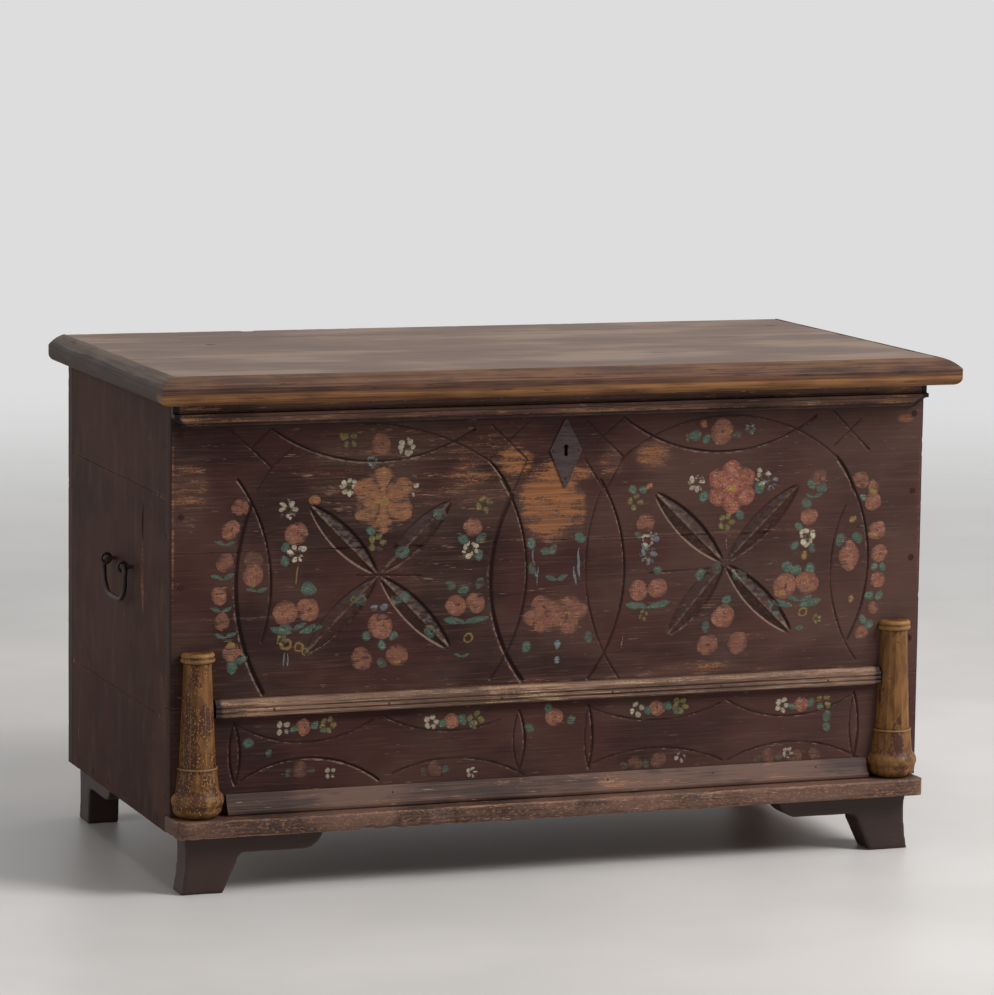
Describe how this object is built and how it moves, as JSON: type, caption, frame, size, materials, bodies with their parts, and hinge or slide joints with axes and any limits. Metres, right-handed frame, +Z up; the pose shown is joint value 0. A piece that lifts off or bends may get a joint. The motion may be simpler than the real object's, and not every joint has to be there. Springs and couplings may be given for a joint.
{
  "type": "marriage chest",
  "caption": "Painted pine marriage chest with a hinged moulded lid, carved floral front, half columns, bracket feet, lock and side bail handles.",
  "frame": {"origin": "on the floor, under the middle of the closed chest's bounding box", "axes": "+Z up, the painted front faces -Y, X runs along the width"},
  "size_m": [1.2648, 0.675, 0.77],
  "materials": {
    "painted_front": "worn dark oil paint with painted flowers over carved lines",
    "painted_side": "worn dark oil paint",
    "bare_pine": "bare aged pine",
    "lid_top": "worn greyed pine",
    "lid_edge": "rubbed brown paint",
    "painted_moulding": "rubbed dark paint, bare on the edges",
    "ochre_column": "ochre paint, flecked",
    "painted_foot": "smooth dark paint",
    "peg": "wooden pegs under paint",
    "iron": "hand-forged iron, dark and slightly rusty"
  },
  "bodies": {
    "root": {"back_board_lower": "bare_pine", "back_board_middle": "bare_pine", "back_board_upper": "bare_pine", "base_board": "painted_moulding", "base_moulding": "painted_moulding", "bolt_guides": "iron", "bottom_board_middle": "bare_pine", "bottom_board_rear": "bare_pine", "bottom_pegs": "peg", "column_left": "ochre_column", "column_right": "ochre_column", "corner_pegs": "peg", "cornice": "painted_moulding", "foot_front_left": "painted_foot", "foot_front_right": "painted_foot", "foot_pegs": "peg", "foot_rear_left": "painted_foot", "foot_rear_right": "painted_foot", "front_board_lower": "painted_front", "front_board_middle": "painted_front", "front_board_upper": "painted_front", "handle_eyes_left": "iron", "handle_eyes_right": "iron", "hinge_body_nails": "iron", "hinge_body_strap_left": "iron", "hinge_body_strap_right": "iron", "hinge_pin_left": "iron", "hinge_pin_right": "iron", "keyhole_plate": "iron", "keyhole_tacks": "iron", "lock_case": "iron", "lock_nails": "iron", "lock_plate": "iron", "lock_spring": "iron", "mid_rail": "painted_moulding", "side_board_left_lower": "painted_side", "side_board_left_middle": "painted_side", "side_board_left_upper": "painted_side", "side_board_right_lower": "painted_side", "side_board_right_middle": "painted_side", "side_board_right_upper": "painted_side", "trim_pins": "iron"},
    "lid": {"batten_nails": "iron", "hinge_lid_strap_left": "iron", "hinge_lid_strap_right": "iron", "lid_batten_left": "bare_pine", "lid_batten_right": "bare_pine", "lid_board_front": "lid_top", "lid_board_middle": "lid_top", "lid_board_rear": "lid_top", "lid_iron_nails": "iron", "lid_moulding_front": "lid_edge", "lid_moulding_left": "lid_edge", "lid_moulding_pins": "iron", "lid_moulding_right": "lid_edge", "lid_staple": "iron"},
    "bail_left": {"handle_bail_left": "iron"},
    "bail_right": {"handle_bail_right": "iron"},
    "lock_bolt": {"lock_bolt": "iron"}
  },
  "joints": [
    {"name": "lid_hinge", "type": "hinge", "parent": "root", "child": "lid", "pos_m": [0, 0.3305, 0.742], "axis": [-1, 0, 0], "range_deg": [0, 100]},
    {"name": "left_bail_swing", "type": "hinge", "parent": "root", "child": "bail_left", "pos_m": [-0.615, -0.0105, 0.457], "axis": [0, 1, 0], "range_deg": [-10, 190]},
    {"name": "right_bail_swing", "type": "hinge", "parent": "root", "child": "bail_right", "pos_m": [0.615, -0.0105, 0.457], "axis": [0, -1, 0], "range_deg": [-10, 190]},
    {"name": "lock_bolt_slide", "type": "slide", "parent": "root", "child": "lock_bolt", "axis": [1, 0, 0], "range_m": [0, 0.016]}
  ]
}
